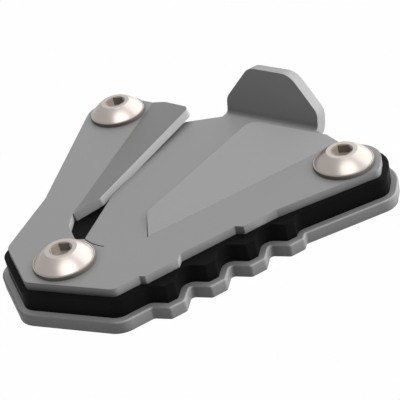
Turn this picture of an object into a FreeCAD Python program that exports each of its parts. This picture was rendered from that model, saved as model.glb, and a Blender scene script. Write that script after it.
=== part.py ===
import FreeCAD, Part
import math
import os
from FreeCAD import Vector

os.makedirs("parts", exist_ok=True)

# Kickstand foot enlarger: a base plate that stands on soft ground, a spacer with a pocket
# for the foot of the stand, and a bent clamp plate on top, held together by three screws.
# Drawing frame: the front screw is at the origin, +X to the right, +Y to the back, +Z up.
# The finished part is moved so that its origin is the bottom centre of the base plate.

# Screw places
left_screw = (-3.8, 61.5)
right_screw = (55.6, 32.7)

# Layers, from the ground up
base_thickness = 3.0
spacer_thickness = 4.3
sheet_thickness = 2.0

# How far the upper layers stay inside the edge of the base plate
spacer_margin = 1.6
clamp_margin = 3.0

# Directions of the outline, as the angle that each edge faces
front_left_faces = 212.6
front_faces = 260.1
grip_faces = 312.4
heel_faces = 303.8
right_faces = 0.0
ear_faces = 90.0
notch_faces = 45.7
back_faces = 65.3
left_faces = 180.0
side_faces = 170.6

# Edges of the base plate, as distances from a screw
front_left_reach = 12.4
front_reach = 10.7
grip_start_reach = 19.4
heel_reach = 10.0
right_reach = 11.1
ear_reach = 10.7
notch_reach = 8.0
back_reach = 10.35
left_reach = 11.1
side_reach = 18.8

# Corner radii of the base plate
front_corner_radius = 5.0
side_corner_radius = 6.0
waist_radius = 4.0
arm_corner_radius = back_reach + 0.25
ear_corner_radius = ear_reach * 0.88
inner_corner_radius = 1.0
least_corner_radius = 0.4
base_top_round = 0.4
base_bottom_round = 0.25

# Grip teeth along the front right edge of base plate and spacer
tooth_count = 4
tooth_pitch = 9.92
tooth_crest = 3.75
tooth_depth = 3.4
tooth_flank = 47.7
tooth_crest_reach = 22.25
tooth_first = 11.6
tooth_corner_radius = 1.0
tooth_root_radius = 0.9

# Steps along the front right edge of the clamp plate
clamp_land_reach = 17.3
clamp_valley_reach = 15.9
clamp_first_step = 4.2
clamp_second_step = -13.6
clamp_notch_place = 24.95

# Slot between the arm and the middle of the clamp plate, from the front screw
slot_left_foot = (0.0, 8.1)
slot_right_foot = (2.2, 8.1)
slot_waist = (4.2, 24.8)
slot_waist_radius = 4.0
slot_left_shoulder = (-2.9, 13.4)
relief_slit = ((2.0, 8.2), (4.2, 6.3), (7.4, 4.9))
relief_slit_width = 0.5

# Flap along the arm: where its bend starts, its direction and its corners.
# Corners are distances along the bend and away from it, each with its radius.
flap_bend_start = (-3.4, 18.0)
flap_bend_heading = 81.1
flap_angle = 14.0
flap_nose = (4.8, 4.9, 1.0)
flap_tail = (41.1, 13.4, 2.8)
flap_shoulder = (47.3, 3.9, 5.0)

# Wing: the ramp that is cut free of the sheet and bent up along the front right edge
wing_bend_start = (16.6, 8.0)
wing_bend_heading = 42.4
wing_angle = 12.0
wing_nose = (3.8, 6.8, 0.3)
wing_peak = (38.4, 18.4, 3.5)
wing_tail = (49.4, 3.6, 0.3)
cut_width = 0.4

# Kick tongue, upright at the back of the middle
tongue_bend_reach = 8.5
tongue_setback = 0.6
tongue_width = 25.6
tongue_thickness = 3.2
tongue_angle = 78.5
tongue_height = 11.2
tongue_shoulder_height = 3.0
tongue_top_start = 6.6
tongue_top_width = 11.55
tongue_corner_radius = 3.2
tongue_right_radius = 5.5
middle_back_faces = 99.3
middle_back_reach = 52.1
middle_left_end = 14.7
bend_radius = 1.0

# Pocket in the spacer for the foot of the stand, from the front screw
pocket_front_left = (2.6, 28.5)
pocket_front_right = (38.4, 28.0)
pocket_left_heading = 81.1
pocket_right_heading = 42.4
pocket_corner_radius = 4.0

# Flanged button head screws with a hexagon socket, size M6
thread_diameter = 6.0
screw_length = 8.0
screw_tip_chamfer = 0.6
flange_diameter = 13.6
flange_thickness = 1.0
flange_round = 0.2
dome_diameter = 12.6
land_diameter = 7.0
dome_bulge = 0.55
head_height = 3.5
socket_across_flats = 4.0
socket_depth = 2.1
socket_turn = 0.0
clearance_hole_diameter = 6.6
thread_clearance = 0.1

front_screw = (0.0, 0.0)
spacer_z = base_thickness
sheet_z = spacer_z + spacer_thickness
sheet_top_z = sheet_z + sheet_thickness

# Longer than the part, for cuts that run right through it
far = 200.0

# Smallest turn that is rounded, in radians, and the distance that counts as none
least_turn = 0.01
none = 1e-5


def facing(angle):
    return Vector(math.cos(math.radians(angle)), math.sin(math.radians(angle)), 0)


def edge(screw, faces, reach, corner=0.0):
    # A straight edge: the way it faces, its distance from the origin, and the radius of
    # the corner at its end
    out = facing(faces)
    return out, reach + out.dot(Vector(screw[0], screw[1], 0)), corner


def cross(first, second):
    # The point where two edges meet
    a, b = first[0], second[0]
    det = a.x * b.y - a.y * b.x
    x = (first[1] * b.y - second[1] * a.y) / det
    y = (a.x * second[1] - b.x * first[1]) / det
    return Vector(x, y, 0)


def corners_of(edges, inset):
    # Corners of a closed row of edges, moved in by the inset. Outer corners get a
    # smaller radius by as much, and inner corners a larger one.
    moved = [(out, reach - inset, radius) for out, reach, radius in edges]
    corners = []
    for i, this in enumerate(moved):
        after = moved[(i + 1) % len(moved)]
        outer = this[0].cross(after[0]).z > 0
        radius = this[2] - inset if outer else this[2] + inset
        corners.append((cross(this, after), max(radius, least_corner_radius) if this[2] else 0.0))
    return corners


def rounded(corners, z=0.0):
    # A closed face through the corners, each rounded to its own radius
    count = len(corners)
    starts, middles, ends = [], [], []
    for i, (point, radius) in enumerate(corners):
        came = (point - corners[i - 1][0]).normalize()
        goes = (corners[(i + 1) % count][0] - point).normalize()
        turn = came.getAngle(goes)
        if radius <= 0 or turn < least_turn:
            starts.append(point)
            middles.append(None)
            ends.append(point)
            continue
        back = radius * math.tan(turn / 2)
        inward = (goes - came).normalize()
        centre = point + inward * (radius / math.cos(turn / 2))
        starts.append(point - came * back)
        middles.append(centre - inward * radius)
        ends.append(point + goes * back)
    pieces = []
    for i in range(count):
        if middles[i] is not None:
            pieces.append(Part.Arc(starts[i], middles[i], ends[i]).toShape())
        following = starts[(i + 1) % count]
        if ends[i].distanceToPoint(following) > none:
            pieces.append(Part.LineSegment(ends[i], following).toShape())
    face = Part.Face(Part.Wire(pieces))
    face.translate(Vector(0, 0, z))
    return face


def teeth():
    # Edges of the grip teeth: down flank, crest and up flank of each
    out = facing(grip_faces)
    along = Vector(-out.y, out.x, 0)
    rows = []
    for i in range(tooth_count):
        start = out * tooth_crest_reach + along * (tooth_first + i * tooth_pitch)
        end = start + along * tooth_crest
        rows.append(edge(start, grip_faces - tooth_flank, 0.0, tooth_corner_radius))
        rows.append(edge(start, grip_faces, 0.0, tooth_corner_radius))
        rows.append(edge(end, grip_faces + tooth_flank, 0.0, tooth_root_radius))
    return rows


def rim():
    # The outline of the base plate, all the way round
    return [
        edge(front_screw, front_left_faces, front_left_reach, front_corner_radius),
        edge(front_screw, front_faces, front_reach, front_corner_radius),
        edge(front_screw, grip_faces, grip_start_reach, tooth_root_radius),
        *teeth(),
        edge(right_screw, heel_faces, heel_reach, front_corner_radius),
        edge(right_screw, right_faces, right_reach, ear_corner_radius),
        edge(right_screw, ear_faces, ear_reach, inner_corner_radius),
        edge(right_screw, notch_faces, notch_reach, front_corner_radius),
        edge(left_screw, back_faces, back_reach, arm_corner_radius),
        edge(left_screw, left_faces, left_reach, waist_radius),
        edge(front_screw, side_faces, side_reach, side_corner_radius),
    ]


def holes(diameter, z, height):
    # The three screw holes of one layer
    cut = []
    for x, y in (front_screw, left_screw, right_screw):
        cut.append(Part.makeCylinder(diameter / 2, height, Vector(x, y, z)))
    return cut


def slab(face, z, height):
    face = face.copy()
    face.translate(Vector(0, 0, z))
    return face.extrude(Vector(0, 0, height))


def round_rims(solid, height, radius):
    # Round the outer edges that lie flat at the given height
    rims = []
    for each in solid.Edges:
        box = each.BoundBox
        if box.ZLength < none and abs(box.ZMin - height) < none:
            rims.append(each)
    return solid.makeFillet(radius, rims)


def base_plate():
    solid = slab(rounded(corners_of(rim(), 0.0)), 0.0, base_thickness)
    solid = round_rims(solid, 0.0, base_bottom_round)
    solid = round_rims(solid, base_thickness, base_top_round)
    return solid.cut(holes(thread_diameter + thread_clearance, 0.0, base_thickness))


def pocket():
    # Open to the back: only its front corners are real
    left = facing(pocket_left_heading) * far
    right = facing(pocket_right_heading) * far
    front_left = Vector(pocket_front_left[0], pocket_front_left[1], 0)
    front_right = Vector(pocket_front_right[0], pocket_front_right[1], 0)
    corners = [
        (front_left, pocket_corner_radius),
        (front_right, pocket_corner_radius),
        (front_right + right, 0.0),
        (front_left + left, 0.0),
    ]
    return slab(rounded(corners), spacer_z, spacer_thickness)


def spacer_plate():
    solid = slab(rounded(corners_of(rim(), spacer_margin)), spacer_z, spacer_thickness)
    solid = solid.cut(pocket())
    return solid.cut(holes(clearance_hole_diameter, spacer_z, spacer_thickness))


def folded(corners, start, end, angle, thickness=sheet_thickness):
    # A leaf of sheet bent up along the line from start to end: the curved strip of the
    # bend and the flat leaf beyond it. The leaf lies to the left of the line, and a leaf
    # that is thicker than the sheet stays flush with both of its faces.
    axis = (end - start).normalize()
    pivot = Vector(start.x, start.y, sheet_top_z + bend_radius)
    bottom = sheet_top_z - thickness
    flat = slab(rounded(corners), bottom, thickness)
    flat.rotate(pivot, axis, angle)
    low = Vector(0, 0, bottom)
    high = Vector(0, 0, sheet_top_z)
    root = Part.Face(Part.makePolygon([start + low, end + low, end + high, start + high, start + low]))
    strip = root.revolve(pivot, axis, angle)
    below = Part.makeBox(far, far, far, Vector(-far / 2, -far / 2, sheet_z - far))
    return strip.fuse(flat).cut(below)


def beside(start, heading, corners, side):
    # Places given along a bend and away from it, side +1 for left of it and -1 for right
    along = facing(heading)
    away = Vector(-along.y, along.x, 0) * side
    origin = Vector(start[0], start[1], 0)
    return [(origin + along * a + away * b, radius) for a, b, radius in corners]


def followed(screw, faces, reach):
    # An edge of the clamp plate that runs inside one of the base plate
    return edge(screw, faces, reach - clamp_margin)


def spot(place):
    return Vector(place[0], place[1], 0)


def relief():
    # A narrow curved slit lets the middle of the sheet settle beside the front screw
    path = Part.Wire([Part.Arc(*[spot(place) for place in relief_slit]).toShape()])
    return slab(path.makeOffset2D(relief_slit_width / 2, 0, True, True), sheet_z, sheet_thickness)


def clamp_plate():
    front_left = followed(front_screw, front_left_faces, front_left_reach)
    front = followed(front_screw, front_faces, front_reach)
    grip_start = followed(front_screw, grip_faces, grip_start_reach)
    heel = followed(right_screw, heel_faces, heel_reach)
    right = followed(right_screw, right_faces, right_reach)
    ear = followed(right_screw, ear_faces, ear_reach)
    notch = followed(right_screw, notch_faces, notch_reach)
    back = followed(left_screw, back_faces, back_reach)
    left = followed(left_screw, left_faces, left_reach)
    side = followed(front_screw, side_faces, side_reach)

    land = edge(front_screw, grip_faces, clamp_land_reach)
    valley = edge(front_screw, grip_faces, clamp_valley_reach)
    first_step = edge(front_screw, grip_faces - tooth_flank, clamp_first_step)
    second_step = edge(front_screw, grip_faces - tooth_flank, clamp_second_step)
    rise = edge(front_screw, grip_faces + tooth_flank, clamp_notch_place)
    middle_back = edge(front_screw, middle_back_faces, middle_back_reach)
    middle_left = edge((middle_left_end, 0.0), left_faces, 0.0)

    tongue_line = edge(left_screw, back_faces, tongue_bend_reach)
    notch_end = cross(notch, tongue_line)
    tongue_along = facing(back_faces + 90)
    tongue_end = notch_end + tongue_along * tongue_setback
    tongue_start = tongue_end + tongue_along * tongue_width
    tongue_side = edge(tongue_start, back_faces + 90, 0.0)

    flap_start = spot(flap_bend_start)
    flap_end = cross(edge(flap_start, flap_bend_heading - 90, 0.0), back)
    wing_start = spot(wing_bend_start)
    wing_end = cross(edge(wing_start, wing_bend_heading - 90, 0.0), notch)

    corner = front_corner_radius - clamp_margin
    small = least_corner_radius
    sheet = slab(rounded([
        (cross(front_left, front), corner),
        (cross(front, grip_start), corner),
        (cross(grip_start, first_step), small),
        (cross(first_step, land), small),
        (cross(land, rise), small),
        (cross(rise, valley), small),
        (cross(valley, second_step), small),
        (cross(second_step, land), small),
        (cross(land, heel), small),
        (cross(heel, right), corner),
        (cross(right, ear), ear_corner_radius - clamp_margin),
        (cross(ear, notch), inner_corner_radius),
        (notch_end, 0.0),
        (tongue_end, 0.0),
        (tongue_start, 0.0),
        (cross(tongue_side, middle_back), small),
        (cross(middle_back, middle_left), small),
        (spot(slot_waist), slot_waist_radius),
        (spot(slot_right_foot), small),
        (spot(slot_left_foot), small),
        (spot(slot_left_shoulder), small),
        (flap_start, 0.0),
        (flap_end, 0.0),
        (cross(back, left), arm_corner_radius - clamp_margin),
        (cross(left, side), waist_radius + clamp_margin),
        (cross(side, front_left), side_corner_radius - clamp_margin),
    ]), sheet_z, sheet_thickness)
    sheet = sheet.cut(relief())

    # The wing is cut free of the sheet on three sides
    wing_corners = beside(wing_bend_start, wing_bend_heading, [wing_nose, wing_peak, wing_tail], 1)
    wing_corners = [(wing_start, 0.0)] + wing_corners + [(wing_end, 0.0)]
    wing_corners.reverse()
    window = rounded(wing_corners).makeOffset2D(cut_width, 2)
    half = beside(wing_bend_start, wing_bend_heading, [(-far, 0, 0), (far, 0, 0), (far, far, 0), (-far, far, 0)], 1)
    sheet = sheet.cut(slab(window.common(rounded(half)), sheet_z, sheet_thickness))
    wing = folded(wing_corners, wing_start, wing_end, wing_angle)

    flap_corners = beside(flap_bend_start, flap_bend_heading, [flap_nose, flap_tail, flap_shoulder], -1)
    flap_corners = [(flap_start, 0.0)] + flap_corners + [(flap_end, 0.0)]
    flap = folded(flap_corners, flap_end, flap_start, flap_angle)

    tongue_rows = [
        (0.0, tongue_shoulder_height, tongue_corner_radius),
        (tongue_top_start, tongue_height, tongue_corner_radius),
        (tongue_top_start + tongue_top_width, tongue_height, tongue_right_radius),
        (tongue_width, tongue_shoulder_height, tongue_corner_radius),
    ]
    tongue_corners = beside(tongue_start, back_faces - 90, tongue_rows, 1)
    tongue_corners = [(tongue_start, 0.0)] + tongue_corners + [(tongue_end, 0.0)]
    tongue = folded(tongue_corners, tongue_start, tongue_end, tongue_angle, tongue_thickness)

    solid = sheet.fuse([wing, flap, tongue])
    solid = solid.cut(holes(clearance_hole_diameter, sheet_z, sheet_thickness))
    return solid.removeSplitter()


def screw(place):
    # Turned profile of head and shank, with the socket cut into the head
    flange = flange_diameter / 2
    dome = dome_diameter / 2
    land = land_diameter / 2
    shank = thread_diameter / 2
    rise = head_height - flange_thickness
    outward = Vector(rise, 0, dome - land).normalize()
    bulge = Vector((dome + land) / 2, 0, flange_thickness + rise / 2) + outward * dome_bulge
    tip = shank - screw_tip_chamfer
    points = [
        Vector(0, 0, -screw_length),
        Vector(tip, 0, -screw_length),
        Vector(shank, 0, -screw_length + screw_tip_chamfer),
        Vector(shank, 0, 0),
        Vector(flange, 0, 0),
        Vector(flange, 0, flange_thickness - flange_round),
        Vector(flange - flange_round, 0, flange_thickness),
        Vector(dome, 0, flange_thickness),
    ]
    pieces = [Part.LineSegment(a, b).toShape() for a, b in zip(points, points[1:])]
    crown = Vector(land, 0, head_height)
    pole = Vector(0, 0, head_height)
    pieces.append(Part.Arc(points[-1], bulge, crown).toShape())
    pieces.append(Part.LineSegment(crown, pole).toShape())
    pieces.append(Part.LineSegment(pole, points[0]).toShape())
    body = Part.Face(Part.Wire(pieces)).revolve(Vector(0, 0, 0), Vector(0, 0, 1), 360)
    corner = socket_across_flats / 2 / math.cos(math.radians(30))
    ring = [facing(socket_turn + 60 * i) * corner for i in range(7)]
    socket = slab(Part.Face(Part.makePolygon(ring)), head_height - socket_depth, socket_depth)
    body = body.cut(socket)
    body.translate(Vector(place[0], place[1], sheet_top_z))
    return body


parts = {
    "base_plate": base_plate(),
    "spacer_plate": spacer_plate(),
    "clamp_plate": clamp_plate(),
    "screw_front": screw(front_screw),
    "screw_left": screw(left_screw),
    "screw_right": screw(right_screw),
}

middle = parts["base_plate"].optimalBoundingBox(False, False).Center
for name, shape in parts.items():
    shape.translate(Vector(-middle.x, -middle.y, 0))
    shape.exportStep("parts/" + name + ".step")
    print(name, "solids", len(shape.Solids), "valid", shape.isValid(), "volume", round(shape.Volume, 1))
print("moved by", round(-middle.x, 3), round(-middle.y, 3))
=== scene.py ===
import bpy
import math
from mathutils import Matrix, Vector


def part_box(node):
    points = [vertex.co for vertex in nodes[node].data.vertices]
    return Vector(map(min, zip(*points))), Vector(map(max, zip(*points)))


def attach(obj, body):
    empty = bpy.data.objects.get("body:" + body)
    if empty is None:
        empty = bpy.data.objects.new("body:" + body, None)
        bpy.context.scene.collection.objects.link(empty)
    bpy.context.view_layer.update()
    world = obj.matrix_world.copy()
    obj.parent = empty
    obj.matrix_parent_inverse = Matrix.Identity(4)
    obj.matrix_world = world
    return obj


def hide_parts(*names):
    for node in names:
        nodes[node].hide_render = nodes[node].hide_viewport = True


# Kickstand foot enlarger: three plates held by flanged screws. Lengths in the dictionaries are in mm.

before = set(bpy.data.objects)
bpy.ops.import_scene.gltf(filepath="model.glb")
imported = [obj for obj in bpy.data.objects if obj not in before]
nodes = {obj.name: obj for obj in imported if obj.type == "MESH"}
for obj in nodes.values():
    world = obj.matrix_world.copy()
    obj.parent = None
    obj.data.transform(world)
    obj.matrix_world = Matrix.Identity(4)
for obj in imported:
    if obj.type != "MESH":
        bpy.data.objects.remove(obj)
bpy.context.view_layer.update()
mm = 0.001


def hexColor(code):
    # sRGB hex to linear
    values = [int(code[i:i + 2], 16) / 255 for i in (0, 2, 4)]
    return tuple(v / 12.92 if v <= 0.04045 else ((v + 0.055) / 1.055) ** 2.4 for v in values) + (1.0,)


def addNode(tree, kind, settings=None, **links):
    # Adds a node and sets its properties, then links or fills its sockets, by name or as i0, i1 by number
    node = tree.nodes.new(kind)
    for name, value in (settings or {}).items():
        setattr(node, name, value)
    for name, value in links.items():
        numbered = name[0] == "i" and name[1:].isdigit()
        socket = node.inputs[int(name[1:]) if numbered else name.replace("_", " ")]
        if isinstance(value, bpy.types.NodeSocket):
            tree.links.new(value, socket)
        else:
            socket.default_value = value
    return node


def newMaterial(name):
    material = bpy.data.materials.new(name)
    material.use_nodes = True
    tree = material.node_tree
    tree.nodes.clear()
    return material, tree


# Camera at the photograph's viewing angle
camera = {
    "place": (78.704 * mm, -245.474 * mm, 166.04 * mm),
    "turn": 18.179,  # degrees, as down and roll are
    "down": 32.147,
    "roll": -12.748,
    "focalPixels": 1353.96,
    "imageWidth": 400,
    "sensor": 36.0,
    "clipStart": 0.01,  # metres, as clipEnd is
    "clipEnd": 20,
}
cameraData = bpy.data.cameras.new("camera")
cameraData.sensor_width = camera["sensor"]
cameraData.lens = camera["focalPixels"] / camera["imageWidth"] * camera["sensor"]
cameraData.clip_start = camera["clipStart"]
cameraData.clip_end = camera["clipEnd"]
cameraObject = bpy.data.objects.new("camera", cameraData)
bpy.context.scene.collection.objects.link(cameraObject)
turn = Matrix.Rotation(math.radians(camera["turn"]), 4, "Z")
tilt = Matrix.Rotation(math.radians(90 - camera["down"]), 4, "X")
roll = Matrix.Rotation(math.radians(camera["roll"]), 4, "Z")
cameraObject.matrix_world = Matrix.Translation(camera["place"]) @ turn @ tilt @ roll
bpy.context.scene.camera = cameraObject
print("camera set")

# How corners get their painted shade and edges their rounding, on all finishes
shading = {
    "openSamples": 8,
    "edgeSamples": 4,
    "downFacing": -0.5,  # a surface whose normal points further down than this gets no painted shade
}


def paintedCreviceShade(tree, color, values):
    # Paints shade into a colour, darker in corners and under edges, where little light gets in. The underside
    # is left out, because the ground would count as covering it
    samples = {"samples": shading["openSamples"]}
    reach = values["paintedShadeReach"] * mm
    openness = addNode(tree, "ShaderNodeAmbientOcclusion", samples, Distance=reach).outputs["AO"]
    normal = addNode(tree, "ShaderNodeNewGeometry").outputs["Normal"]
    height = addNode(tree, "ShaderNodeSeparateXYZ", Vector=normal).outputs["Z"]
    limit = shading["downFacing"]
    down = addNode(tree, "ShaderNodeMath", {"operation": "LESS_THAN"}, i0=height, i1=limit).outputs[0]
    openness = addNode(tree, "ShaderNodeMath", {"operation": "MAXIMUM"}, i0=openness, i1=down).outputs[0]
    least = values["paintedShadeShare"]
    depth = addNode(tree, "ShaderNodeMapRange", Value=openness, To_Min=least, To_Max=1.0).outputs["Result"]
    return addNode(tree, "ShaderNodeVectorMath", {"operation": "SCALE"}, i0=color, Scale=depth).outputs[0]


def grainBump(tree, place, values):
    # Fine grain as a bump on softly rounded edges
    grain = addNode(
        tree, "ShaderNodeTexNoise", Vector=place, Scale=1 / (values["grainSize"] * mm),
        Detail=values["grainDetail"], Roughness=values["grainRoughness"],
    ).outputs["Fac"]
    edge = addNode(
        tree, "ShaderNodeBevel", {"samples": shading["edgeSamples"]}, Radius=values["edgeRound"] * mm,
    ).outputs["Normal"]
    bump = addNode(
        tree, "ShaderNodeBump", Strength=values["grainStrength"], Distance=values["grainDepth"] * mm,
        Height=grain, Normal=edge,
    ).outputs["Normal"]
    return grain, bump


# Blasted, clear anodised aluminium: even satin grey with a very fine grain and no sharp reflections
blastedAluminium = {
    "color": "969696",
    "metallic": 0.15,
    "roughness": 0.6,
    "glossDrift": 0.04,
    "driftSize": 16.7,  # the gloss changes a little across a plate
    "driftDetail": 2.0,
    "grainSize": 0.35,  # blasting grit leaves 0.1 mm dimples, drawn coarser so that they show
    "grainDetail": 3.0,
    "grainRoughness": 0.6,
    "grainDepth": 0.004,
    "grainStrength": 0.35,
    "grainContrast": 0.03,
    "edgeRound": 0.05,
    "paintedShadeShare": 0.02,  # share of the colour left deep in corners by the painted shade
    "paintedShadeReach": 7.0,
}

# Bead blasted stainless steel sheet: the same even grey, a little smoother, with rounder cut edges
blastedSteel = {
    **blastedAluminium,
    "color": "959595",
    "roughness": 0.55,
    "grainSize": 0.3,
    "grainDepth": 0.003,
    "grainContrast": 0.025,
    "edgeRound": 0.15,
    # painted shade in corners: more of the colour kept, over a shorter reach
    "paintedShadeShare": 0.2,
    "paintedShadeReach": 2.2,
}


def blastedMetal(name, values):
    material, tree = newMaterial(name)
    place = addNode(tree, "ShaderNodeTexCoord").outputs["Object"]
    grain, bump = grainBump(tree, place, values)
    base = hexColor(values["color"])[:3]
    dark, light = [
        tuple(c * (1 + side * values["grainContrast"]) for c in base) + (1.0,) for side in (-1, 1)
    ]
    tone = addNode(tree, "ShaderNodeMix", {"data_type": "RGBA"}, Factor=grain, i6=dark, i7=light)
    shaded = paintedCreviceShade(tree, tone.outputs[2], values)
    drift = addNode(
        tree, "ShaderNodeTexNoise", Vector=place, Scale=1 / (values["driftSize"] * mm),
        Detail=values["driftDetail"],
    ).outputs["Fac"]
    rough = addNode(
        tree, "ShaderNodeMapRange", Value=drift, To_Min=values["roughness"] - values["glossDrift"],
        To_Max=values["roughness"] + values["glossDrift"],
    ).outputs["Result"]
    shader = addNode(
        tree, "ShaderNodeBsdfPrincipled", Base_Color=shaded, Metallic=values["metallic"],
        Roughness=rough, Normal=bump,
    )
    addNode(tree, "ShaderNodeOutputMaterial", Surface=shader.outputs["BSDF"])
    return material


aluminium = blastedMetal("blasted aluminium", blastedAluminium)
steel = blastedMetal("blasted stainless steel", blastedSteel)

# Black glass filled nylon: deep black, hardly glossy, with a fine spark eroded texture
blackNylon = {
    "color": "0A0A0A",
    "roughness": 0.6,
    "specular": 0.06,
    "grainSize": 0.4,
    "grainDetail": 4.0,
    "grainRoughness": 0.5,
    "grainDepth": 0.01,
    "grainStrength": 0.4,
    "edgeRound": 0.2,
}
nylon, tree = newMaterial("black glass filled nylon")
place = addNode(tree, "ShaderNodeTexCoord").outputs["Object"]
grain, bump = grainBump(tree, place, blackNylon)
shader = addNode(
    tree, "ShaderNodeBsdfPrincipled", Base_Color=hexColor(blackNylon["color"]),
    Roughness=blackNylon["roughness"], Specular_IOR_Level=blackNylon["specular"], Normal=bump,
)
addNode(tree, "ShaderNodeOutputMaterial", Surface=shader.outputs["BSDF"])

# Stainless steel of the screws, slightly warm. The two darker copies carry painted shade
screwSteels = {
    "polished stainless steel": {  # dome, land and top of the flange: soft bright reflections
        "color": "C2B9B3",
        "metallic": 0.55,
        "roughness": 0.3,
        "paintedShadeShare": 0.5,
        "paintedShadeReach": 0.6,
    },
    "turned stainless steel": {  # shank and side of the flange: duller, and darker as painted shade
        "color": "6A645E",
        "metallic": 0.3,
        "roughness": 0.55,
        "paintedShadeShare": 0.45,
        "paintedShadeReach": 1.5,
    },
    "punched stainless steel": {  # socket: dull, darker as painted shade, with more painted shade in its depth
        "color": "8C837B",
        "metallic": 0.3,
        "roughness": 0.55,
        "paintedShadeShare": 0.75,
        "paintedShadeReach": 1.5,
    },
}
screwFinishes = []
for name, values in screwSteels.items():
    material, tree = newMaterial(name)
    shaded = paintedCreviceShade(tree, hexColor(values["color"])[:3], values)
    shader = addNode(
        tree, "ShaderNodeBsdfPrincipled", Base_Color=shaded, Metallic=values["metallic"],
        Roughness=values["roughness"],
    )
    addNode(tree, "ShaderNodeOutputMaterial", Surface=shader.outputs["BSDF"])
    screwFinishes.append(material)

finishes = {
    "base_plate": aluminium,
    "spacer_plate": nylon,
    "clamp_plate": steel,
}
for name, material in finishes.items():
    nodes[name].data.materials.clear()
    nodes[name].data.materials.append(material)
print("materials set")

# Flanged button head screws: one turned profile, spun and set on the three screw places
screws = {
    "places": ("screw_front", "screw_left", "screw_right"),  # the CAD screws that they stand for
    "headHeight": 3.5,
    "shankRadius": 3.0,
    "tipChamfer": 0.6,
    "flangeRadius": 6.8,
    "flangeThickness": 1.0,
    "flangeRound": 0.22,
    "domeFoot": 6.4,
    "seamWidth": 0.12,  # groove between the flange's rim and the dome
    "seamFloor": 0.072,
    "seamDepth": 0.12,
    "domeBulge": 0.22,
    "landRadius": 3.45,
    "landRound": 0.12,
    "landBlend": (0.35, 0.22),  # where the round from dome to land passes, as shares across and down
    "mouthRadius": 2.5,
    "mouthChamfer": 0.12,
    "socketAcrossFlats": 4.0,
    "socketDepth": 2.1,
    "socketCorner": 0.1,
    "drillShare": 0.85,  # of the half width across flats
    "drillStep": 0.05,
    "drillDepth": 0.6,
    "segments": 144,
    "roundSteps": 4,
    "domeSteps": 16,
    "sharpAngle": 32.0,
    "weldDistance": 0.002,
}


def arc(start, middle, end, steps):
    # Points of the circle through three points, without the first
    (ax, ay), (bx, by), (cx, cy) = start, middle, end
    d = 2 * (ax * (by - cy) + bx * (cy - ay) + cx * (ay - by))
    sa, sb, sc = ax * ax + ay * ay, bx * bx + by * by, cx * cx + cy * cy
    ux = (sa * (by - cy) + sb * (cy - ay) + sc * (ay - by)) / d
    uy = (sa * (cx - bx) + sb * (ax - cx) + sc * (bx - ax)) / d
    radius = math.hypot(ax - ux, ay - uy)
    first = math.atan2(ay - uy, ax - ux)
    sweep = math.remainder(math.atan2(cy - uy, cx - ux) - first, math.tau)
    turns = [first + sweep * (i + 1) / steps for i in range(steps)]
    return [(ux + radius * math.cos(t), uy + radius * math.sin(t)) for t in turns]


def screwProfile(s, length):
    # Rows of radius, share of the hexagon and height above the clamp plate, from the tip up to the head
    # and down into the socket, with the number of dull side strips and the last strip before the socket
    shank, tip = s["shankRadius"], s["tipChamfer"]
    flange, r, thick = s["flangeRadius"], s["flangeRound"], s["flangeThickness"]
    foot, land, top = s["domeFoot"], s["landRadius"], s["headHeight"]
    inset = r * (1 - math.sqrt(0.5))  # how far a round's middle lies inside its corner
    rows = [(0, -length), (shank - tip, -length), (shank, tip - length), (shank, 0), (flange - r, 0)]
    rows += arc((flange - r, 0), (flange - inset, inset), (flange, r), s["roundSteps"])
    rows += [(flange, thick - r)]
    rows += arc((flange, thick - r), (flange - inset, thick - inset), (flange - r, thick), s["roundSteps"])
    sideRows = len(rows) - 2  # the round's last strip is polished with the top
    seam = thick - s["seamDepth"]
    rows += [(foot + s["seamWidth"], thick), (foot + s["seamFloor"], seam), (foot, seam), (foot, thick)]

    # The dome bulges out from the straight line between its foot and the land
    rise, run = top - thick, foot - land
    bulge = s["domeBulge"] / math.hypot(rise, run)
    middle = ((foot + land) / 2 + rise * bulge, (thick + top) / 2 + run * bulge)
    dome = arc((foot, thick), middle, (land, top), s["domeSteps"])[:-1]
    rows += dome
    domeRadius, domeHeight = dome[-1]
    across, down = s["landBlend"]
    blend = (land + (domeRadius - land) * across, top - (top - domeHeight) * down)
    rows += arc(dome[-1], blend, (land - s["landRound"], top), s["roundSteps"])
    rows += [(s["mouthRadius"], top)]
    socketRow = len(rows) - 2

    flats, floor, corner = s["socketAcrossFlats"] / 2, top - s["socketDepth"], s["socketCorner"]
    socket = [
        (flats, 1, top - s["mouthChamfer"]),
        (flats, 1, floor + corner),
        (flats - corner, 1, floor),
        (flats * s["drillShare"], 0, floor - s["drillStep"]),
        (0, 0, floor - s["drillDepth"]),
    ]
    return [(x, 0, z) for x, z in rows] + socket, sideRows, socketRow


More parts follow.
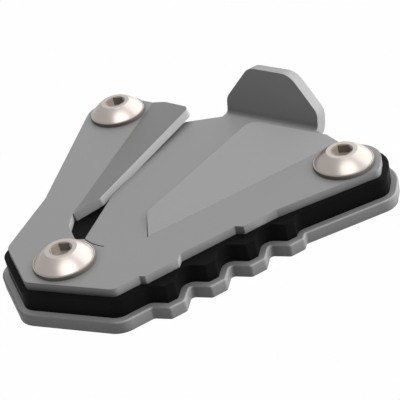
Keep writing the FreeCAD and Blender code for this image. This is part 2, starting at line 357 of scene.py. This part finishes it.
def screwTree(kinds):
    # Spins the profile's rows round the axis, cuts the hexagon by its radius, and sets a copy on every place
    tree = bpy.data.node_groups.new("flanged screws", "GeometryNodeTree")
    face = tree.interface
    face.new_socket("Places", in_out="INPUT", socket_type="NodeSocketGeometry")
    sockets = {name: face.new_socket(name, in_out="INPUT", socket_type=kind) for name, kind in kinds.items()}
    face.new_socket("Screws", in_out="OUTPUT", socket_type="NodeSocketGeometry")
    given = addNode(tree, "NodeGroupInput").outputs

    # A flat sheet, one column of points for each turn step and one row for each row of the profile
    columns = addNode(tree, "ShaderNodeMath", {"operation": "ADD"}, i0=given["Segments"], i1=1.0).outputs[0]
    grid = addNode(tree, "GeometryNodeMeshGrid", Vertices_X=columns, Vertices_Y=given["Rows"])
    sheet = grid.outputs["Mesh"]
    number = addNode(tree, "GeometryNodeInputIndex").outputs[0]

    # Faces are marked by the strip of the profile that they lie on
    strips = addNode(tree, "ShaderNodeMath", {"operation": "SUBTRACT"}, i0=given["Rows"], i1=1.0).outputs[0]
    strip = addNode(tree, "ShaderNodeMath", {"operation": "MODULO"}, i0=number, i1=strips).outputs[0]
    marks = {
        "side": ("LESS_THAN", "Side Rows", "Side Material"),
        "bore": ("GREATER_THAN", "Socket Row", "Socket Material"),
    }
    onFaces = {"data_type": "BOOLEAN", "domain": "FACE"}
    for name, (test, limit, finish) in marks.items():
        marked = addNode(tree, "ShaderNodeMath", {"operation": test}, i0=strip, i1=given[limit]).outputs[0]
        sheet = addNode(
            tree, "GeometryNodeStoreNamedAttribute", onFaces, Geometry=sheet, Name=name, Value=marked,
        ).outputs[0]

    # The profile's point and the turn of every point of the sheet
    row = addNode(tree, "ShaderNodeMath", {"operation": "MODULO"}, i0=number, i1=given["Rows"]).outputs[0]
    column = addNode(tree, "ShaderNodeMath", {"operation": "DIVIDE"}, i0=number, i1=given["Rows"]).outputs[0]
    column = addNode(tree, "ShaderNodeMath", {"operation": "FLOOR"}, i0=column).outputs[0]
    step = addNode(tree, "ShaderNodeMath", {"operation": "DIVIDE"}, i0=math.tau, i1=given["Segments"])
    angle = addNode(
        tree, "ShaderNodeMath", {"operation": "MULTIPLY"}, i0=column, i1=step.outputs[0],
    ).outputs[0]
    original = {"transform_space": "ORIGINAL"}
    profile = addNode(tree, "GeometryNodeObjectInfo", original, Object=given["Profile"]).outputs["Geometry"]
    here = addNode(tree, "GeometryNodeInputPosition").outputs[0]
    point = addNode(
        tree, "GeometryNodeSampleIndex", {"data_type": "FLOAT_VECTOR", "clamp": True},
        Geometry=profile, Value=here, Index=row,
    ).outputs[0]
    part = addNode(tree, "ShaderNodeSeparateXYZ", Vector=point).outputs

    # The hexagon's radius at that turn, taken as far as the row's share of the hexagon says
    sixth = math.tau / 6  # from one corner of the hexagon to the next
    within = addNode(tree, "ShaderNodeMath", {"operation": "MODULO"}, i0=angle, i1=sixth).outputs[0]
    centred = addNode(tree, "ShaderNodeMath", {"operation": "SUBTRACT"}, i0=within, i1=sixth / 2).outputs[0]
    cosine = addNode(tree, "ShaderNodeMath", {"operation": "COSINE"}, i0=centred).outputs[0]
    hexagon = addNode(tree, "ShaderNodeMath", {"operation": "DIVIDE"}, i0=1.0, i1=cosine).outputs[0]
    stretch = addNode(tree, "ShaderNodeMix", {"data_type": "FLOAT"}, Factor=part["Y"], i2=1.0, i3=hexagon)
    radius = addNode(tree, "ShaderNodeMath", {"operation": "MULTIPLY"}, i0=part["X"], i1=stretch.outputs[0])
    spun = {"Z": part["Z"]}
    for axis, wave in (("X", "COSINE"), ("Y", "SINE")):
        share = addNode(tree, "ShaderNodeMath", {"operation": wave}, i0=angle).outputs[0]
        along = addNode(tree, "ShaderNodeMath", {"operation": "MULTIPLY"}, i0=radius.outputs[0], i1=share)
        spun[axis] = along.outputs[0]
    place = addNode(tree, "ShaderNodeCombineXYZ", **spun).outputs[0]
    turned = addNode(tree, "GeometryNodeSetPosition", Geometry=sheet, Position=place).outputs[0]
    weld = given["Weld Distance"]
    closed = addNode(tree, "GeometryNodeMergeByDistance", Geometry=turned, Distance=weld).outputs[0]

    copies = addNode(tree, "GeometryNodeInstanceOnPoints", Points=given["Places"], Instance=closed).outputs[0]
    real = addNode(tree, "GeometryNodeRealizeInstances", Geometry=copies).outputs[0]
    bend = addNode(tree, "GeometryNodeInputMeshEdgeAngle").outputs["Unsigned Angle"]
    less = {"data_type": "FLOAT", "operation": "LESS_THAN"}
    smooth = addNode(tree, "FunctionNodeCompare", less, A=bend, B=given["Sharp Angle"]).outputs[0]
    done = addNode(
        tree, "GeometryNodeSetShadeSmooth", {"domain": "EDGE"}, Geometry=real, Shade_Smooth=smooth,
    ).outputs[0]
    done = addNode(tree, "GeometryNodeSetMaterial", Geometry=done, Material=given["Material"]).outputs[0]
    for name, (test, limit, finish) in marks.items():
        marked = addNode(tree, "GeometryNodeInputNamedAttribute", {"data_type": "BOOLEAN"}, Name=name)
        done = addNode(
            tree, "GeometryNodeSetMaterial", Geometry=done, Selection=marked.outputs[0],
            Material=given[finish],
        ).outputs[0]
    addNode(tree, "NodeGroupOutput", Screws=done)
    return tree, sockets


def meshObject(name, points, edges):
    mesh = bpy.data.meshes.new(name)
    mesh.from_pydata(points, edges, [])
    piece = bpy.data.objects.new(name, mesh)
    bpy.context.scene.collection.objects.link(piece)
    return piece


spots = []
for name in screws["places"]:
    low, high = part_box(name)
    seat = high[2] - screws["headHeight"] * mm
    spots.append(((low[0] + high[0]) / 2, (low[1] + high[1]) / 2, seat))
screwLength = (spots[0][2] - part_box("screw_front")[0][2]) / mm
rows, sideRows, socketRow = screwProfile(screws, screwLength)
points = [(x * mm, share, z * mm) for x, share, z in rows]
profile = meshObject("screwProfile", points, [(i, i + 1) for i in range(len(rows) - 1)])
holder = meshObject("screwPlaces", spots, [])
headSteel, sideSteel, socketSteel = screwFinishes
inputs = {
    "Profile": ("NodeSocketObject", profile),
    "Segments": ("NodeSocketInt", screws["segments"]),
    "Rows": ("NodeSocketInt", len(rows)),
    "Sharp Angle": ("NodeSocketFloat", math.radians(screws["sharpAngle"])),
    "Weld Distance": ("NodeSocketFloat", screws["weldDistance"] * mm),
    "Side Rows": ("NodeSocketInt", sideRows),
    "Socket Row": ("NodeSocketInt", socketRow),
    "Material": ("NodeSocketMaterial", headSteel),
    "Side Material": ("NodeSocketMaterial", sideSteel),
    "Socket Material": ("NodeSocketMaterial", socketSteel),
}
tree, sockets = screwTree({name: kind for name, (kind, value) in inputs.items()})
modifier = holder.modifiers.new("screws", "NODES")
modifier.node_group = tree
for name, (kind, value) in inputs.items():
    modifier[sockets[name].identifier] = value
bpy.context.view_layer.update()
seen = holder.evaluated_get(bpy.context.evaluated_depsgraph_get())
screwMesh = bpy.data.meshes.new_from_object(seen)
holder.modifiers.remove(modifier)
bpy.data.objects.remove(holder)
bpy.data.objects.remove(profile)
screwMesh.name = "flangedScrews"
screwHeads = bpy.data.objects.new("flangedScrews", screwMesh)
bpy.context.scene.collection.objects.link(screwHeads)
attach(screwHeads, "root")
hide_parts(*screws["places"])
print("screws made", len(screwMesh.polygons))

# Floor, world and lamps
studio = {
    "floorSize": 3.0,  # metres
    "floorGap": 0.02,
    "floorColor": "BCBCBC",
    "white": "FFFFFF",
    "shadowShare": 0.015,  # how much of the floor's look is lit paper, which takes the shadow
    "ambient": 0.13,
    "suns": {  # where each shines from, its strength, its width in degrees, and the kind of light it gives
        "key lamp": ((0.858, 0.495, 0.139), 2.7, 12, "diffuse"),
        "side lamp": ((0.99, 0.0, 0.139), 0.9, 12, "diffuse"),
        "upper lamp": ((0.814, 0.296, 0.5), 3.1, 12, "diffuse"),
        "front glint": ((0.3, -0.48, 0.82), 1.5, 54, "glossy"),
        "back glint": ((0.47, 0.72, 0.5), 1.2, 70, "glossy"),
    },
}


def seesWhite(tree):
    # 1 for the rays that see a white background: the camera's, and those reflected or let through
    rays = addNode(tree, "ShaderNodeLightPath").outputs
    seen = rays["Is Camera Ray"]
    for name in ("Is Glossy Ray", "Is Transmission Ray"):
        seen = addNode(tree, "ShaderNodeMath", {"operation": "MAXIMUM"}, i0=seen, i1=rays[name]).outputs[0]
    return seen


# White paper under the part: it glows white to the camera and keeps the part's faint shadow.
# It is clear from below, so that the underside can be seen
bpy.ops.mesh.primitive_plane_add(size=studio["floorSize"], location=(0, 0, -studio["floorGap"] * mm))
floor = bpy.context.object
floor.name = "floor"
paper, tree = newMaterial("white paper")
share = addNode(
    tree, "ShaderNodeMath", {"operation": "MULTIPLY"}, i0=seesWhite(tree), i1=1 - studio["shadowShare"],
)
lit = addNode(tree, "ShaderNodeBsdfDiffuse", Color=hexColor(studio["floorColor"]))
glow = addNode(tree, "ShaderNodeEmission", Color=hexColor(studio["white"]), Strength=1.0)
mixed = addNode(tree, "ShaderNodeMixShader", i0=share.outputs[0], i1=lit.outputs[0], i2=glow.outputs[0])
below = addNode(tree, "ShaderNodeNewGeometry").outputs["Backfacing"]
clear = addNode(tree, "ShaderNodeBsdfTransparent")
oneSided = addNode(tree, "ShaderNodeMixShader", i0=below, i1=mixed.outputs[0], i2=clear.outputs[0])
addNode(tree, "ShaderNodeOutputMaterial", Surface=oneSided.outputs[0])
floor.data.materials.append(paper)

world = bpy.data.worlds.new("studio")
bpy.context.scene.world = world
world.use_nodes = True
tree = world.node_tree
tree.nodes.clear()
soft = addNode(tree, "ShaderNodeBackground", Color=hexColor(studio["white"]), Strength=studio["ambient"])
white = addNode(tree, "ShaderNodeBackground", Color=hexColor(studio["white"]), Strength=1.0)
mixed = addNode(tree, "ShaderNodeMixShader", i0=seesWhite(tree), i1=soft.outputs[0], i2=white.outputs[0])
addNode(tree, "ShaderNodeOutputWorld", Surface=mixed.outputs[0])

for name, (source, strength, angle, kind) in studio["suns"].items():
    sunData = bpy.data.lights.new(name, "SUN")
    sunData.energy = strength
    sunData.angle = math.radians(angle)
    sunData.use_shadow = False  # soft room light: no hard cast shadows
    sun = bpy.data.objects.new(name, sunData)
    bpy.context.scene.collection.objects.link(sun)
    sun.visible_glossy = kind == "glossy"
    sun.visible_diffuse = kind == "diffuse"
    sun.rotation_euler = Vector(source).to_track_quat("Z", "Y").to_euler()
print("floor and lamps set")

bpy.context.scene.view_settings.view_transform = "Standard"
